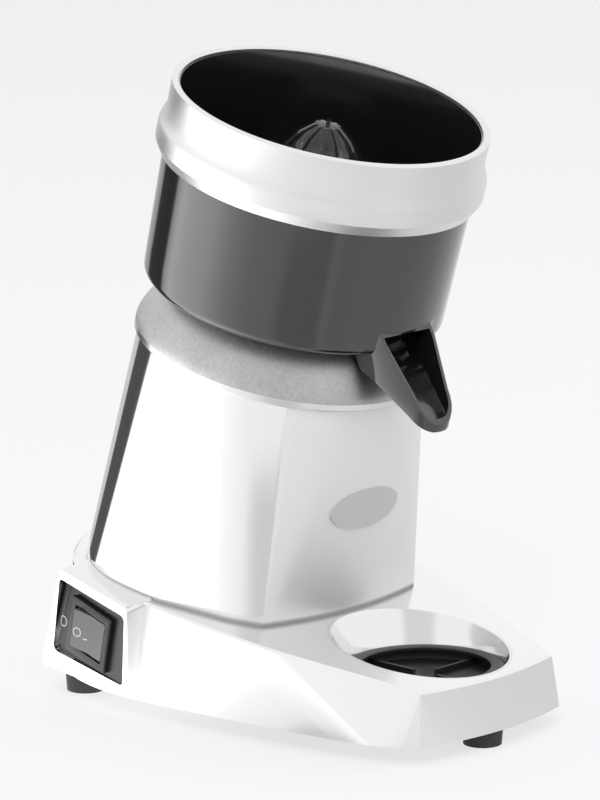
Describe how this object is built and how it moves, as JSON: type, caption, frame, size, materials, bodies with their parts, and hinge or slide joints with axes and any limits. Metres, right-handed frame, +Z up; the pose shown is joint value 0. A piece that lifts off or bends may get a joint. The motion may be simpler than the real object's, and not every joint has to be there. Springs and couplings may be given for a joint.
{
  "type": "citrus juicer",
  "caption": "Counter-top electric citrus juicer with a leaning motor column, a lift-off bowl with a spout, a turning reamer and a rest for a glass.",
  "frame": {"origin": "middle of the part's box, on the counter", "axes": "+Z up, -Y towards the person who uses it"},
  "size_m": [0.1964, 0.277, 0.3497],
  "materials": {
    "polished_aluminium": "polished",
    "cast_aluminium": "satin cast",
    "polished_band": "polished",
    "satin_ring": "satin",
    "mirror_steel": "mirror",
    "chrome_trim": "mirror",
    "gloss_black": "gloss",
    "black_plastic": "satin",
    "smoke_clear": "clear, smoky",
    "dark_plastic": "satin",
    "sieve_plastic": "gloss",
    "rubber": "matt",
    "steel_sheet": "brushed",
    "zinc_steel": "zinc plated",
    "bearing_steel": "ground",
    "badge_metal": "brushed",
    "shield_aluminium": "die cast",
    "iron_stack": "laminated",
    "copper": "enamelled",
    "capacitor_case": "satin",
    "ivory_plastic": "satin",
    "grey_rocker": "gloss, translucent"
  },
  "bodies": {
    "root": {"base": "polished_aluminium", "bottom_plate": "steel_sheet", "plate_screws": "zinc_steel", "feet": "rubber", "foot_screws": "zinc_steel", "glass_dish": "mirror_steel", "column": "polished_aluminium", "badge": "badge_metal", "band": "polished_band", "collar": "cast_aluminium", "shaft_seal": "rubber", "upper_bearing": "bearing_steel", "lower_bearing": "bearing_steel", "upper_shield": "shield_aluminium", "lower_shield": "shield_aluminium", "stator": "iron_stack", "upper_winding": "copper", "lower_winding": "copper", "motor_bolts": "zinc_steel", "motor_nuts": "zinc_steel", "capacitor": "capacitor_case", "capacitor_strap": "steel_sheet", "terminal_block": "ivory_plastic", "switch_housing": "chrome_trim", "switch_plate": "black_plastic", "switch_frame": "black_plastic", "switch_body": "black_plastic", "rocker_pin": "bearing_steel", "cable_grommet": "rubber"},
    "drive": {"shaft": "bearing_steel", "drive_pin": "bearing_steel", "rotor": "iron_stack", "fan": "dark_plastic"},
    "reamer_body": {"reamer": "smoke_clear", "reamer_insert": "dark_plastic"},
    "bowl_body": {"bowl": "gloss_black", "bowl_hub": "gloss_black", "sieve": "sieve_plastic"},
    "ring_body": {"splash_ring": "satin_ring"},
    "tray_body": {"drip_insert": "black_plastic"},
    "rocker_body": {"rocker": "grey_rocker"}
  },
  "joints": [
    {"name": "drive_spin", "type": "hinge", "parent": "root", "child": "drive", "pos_m": [0.005, 0.01953, 0.19045], "axis": [0, -0.2588, 0.9659], "continuous": true},
    {"name": "reamer_lift", "type": "slide", "parent": "drive", "child": "reamer_body", "axis": [0, -0.2588, 0.9659], "range_m": [0, 0.06]},
    {"name": "bowl_lift", "type": "slide", "parent": "root", "child": "bowl_body", "axis": [0, -0.2588, 0.9659], "range_m": [0, 0.06]},
    {"name": "ring_lift", "type": "slide", "parent": "bowl_body", "child": "ring_body", "axis": [0, -0.2588, 0.9659], "range_m": [0, 0.06]},
    {"name": "tray_lift", "type": "slide", "parent": "root", "child": "tray_body", "axis": [0, 0, 1], "range_m": [0, 0.03]},
    {"name": "rocker_tilt", "type": "hinge", "parent": "root", "child": "rocker_body", "pos_m": [-0.08088, 0.0754, 0.04053], "axis": [0.0294, 0.223, -0.9744], "range_deg": [0, 16]}
  ],
  "couplings": [
    {"joint": "reamer_lift", "follows": "bowl_lift", "ratio": 1}
  ]
}
